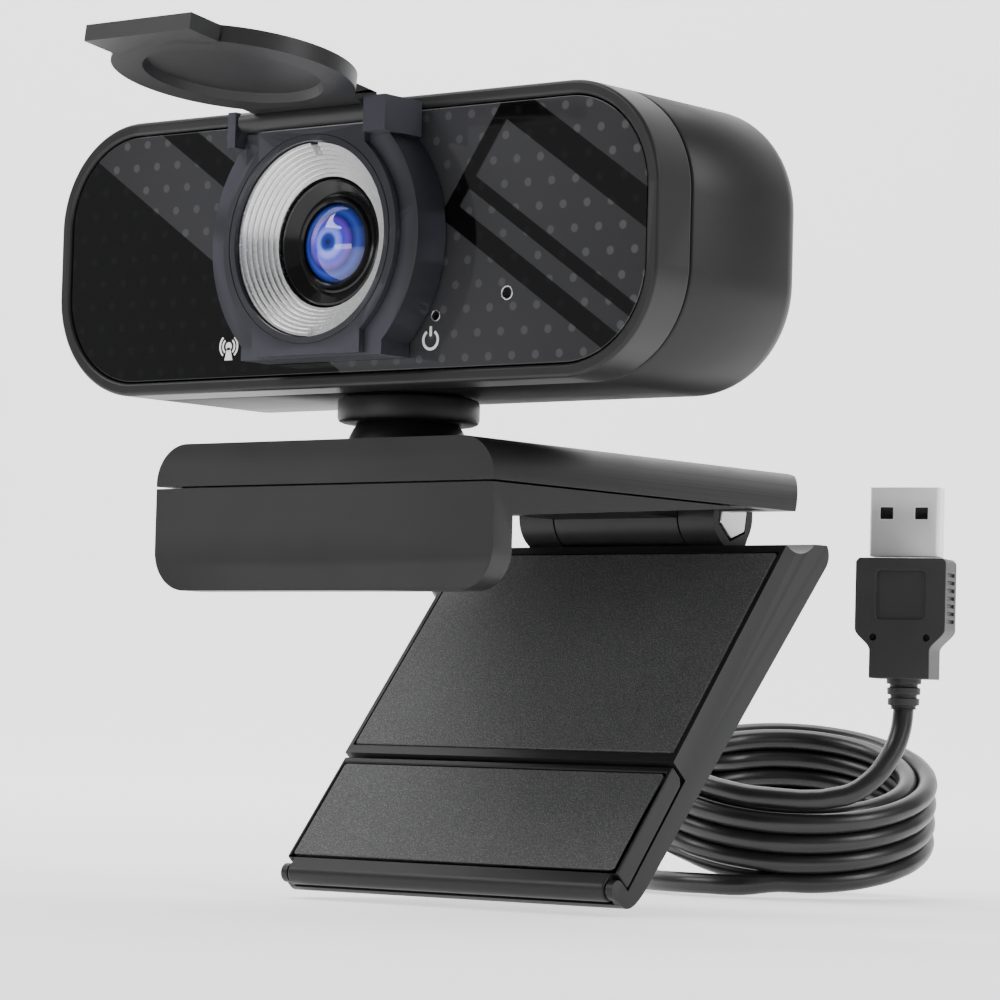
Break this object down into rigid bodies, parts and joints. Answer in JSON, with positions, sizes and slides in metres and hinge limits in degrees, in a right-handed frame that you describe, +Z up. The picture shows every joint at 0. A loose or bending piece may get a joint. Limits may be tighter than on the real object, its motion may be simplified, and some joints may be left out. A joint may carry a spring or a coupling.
{
  "type": "webcam on a folding screen clip",
  "caption": "Wide webcam with a flip-up privacy cover, on a swivelling screen clip with a folding leg and foot, and a coiled USB lead.",
  "frame": {"origin": "middle of the clip's underside, where it rests on the top of a screen", "axes": "+X to the head's left-hand side seen from behind, the lens looks along -Y, +Z up"},
  "size_m": [0.115, 0.2038, 0.1239],
  "materials": {
    "casing": "fine matte charcoal",
    "gloss": "polished black",
    "frame": "satin slate grey",
    "silver": "turned steps, satin",
    "glass": "coated lens",
    "pad": "grainy speckled rubber",
    "steel": "bright",
    "board": "solder mask",
    "cord": "satin black cable jacket"
  },
  "bodies": {
    "clip": {"arm_top_cover": "casing", "arm_lower_shell": "casing", "hook_pad": "pad", "clip_screw_1": "steel", "clip_screw_2": "steel", "strain_relief": "cord", "lead_run": "cord", "lead_coil": "cord", "coil_tie": "cord", "lead_rise": "cord", "plug_strain_relief": "cord", "plug_overmold": "cord", "plug_shell": "steel", "plug_tongue": "gloss"},
    "swivel": {"neck_ball": "casing"},
    "head": {"front_bezel": "casing", "front_panel": "gloss", "rear_shell": "casing", "lens_frame": "frame", "lens_frame_plate": "frame", "lens_ring": "silver", "lens_barrel": "gloss", "lens_glass": "glass", "lens_holder": "casing", "image_sensor": "gloss", "main_board": "board", "status_led": "glass", "microphone": "steel", "board_screw_1": "steel", "board_screw_2": "steel", "board_screw_3": "steel", "board_screw_4": "steel", "swivel_disc": "casing"},
    "cover": {"privacy_cover": "frame", "cover_pin": "steel"},
    "leg": {"leg_body": "casing", "leg_pad": "pad", "hinge_bolt": "steel", "hinge_nut": "steel"},
    "foot": {"foot_flap": "casing", "foot_pad": "pad", "foot_pin": "steel"}
  },
  "joints": [
    {"name": "head_pan", "type": "hinge", "parent": "clip", "child": "swivel", "pos_m": [0, -0.0093, 0.0074], "axis": [0, 0, 1], "range_deg": [-45, 45]},
    {"name": "head_tilt", "type": "hinge", "parent": "swivel", "child": "head", "pos_m": [0, -0.0093, 0.0074], "axis": [1, 0, 0], "range_deg": [-10, 10]},
    {"name": "cover_hinge", "type": "hinge", "parent": "head", "child": "cover", "pos_m": [0, -0.033, 0.0564], "axis": [1, 0, 0], "range_deg": [-40, 97.5]},
    {"name": "leg_hinge", "type": "hinge", "parent": "clip", "child": "leg", "pos_m": [0, 0.0486, 0.0026], "axis": [1, 0, 0], "range_deg": [-15, 60]},
    {"name": "foot_hinge", "type": "hinge", "parent": "leg", "child": "foot", "pos_m": [0, 0.00292, -0.05548], "axis": [1, 0, 0], "range_deg": [0, 100]}
  ]
}
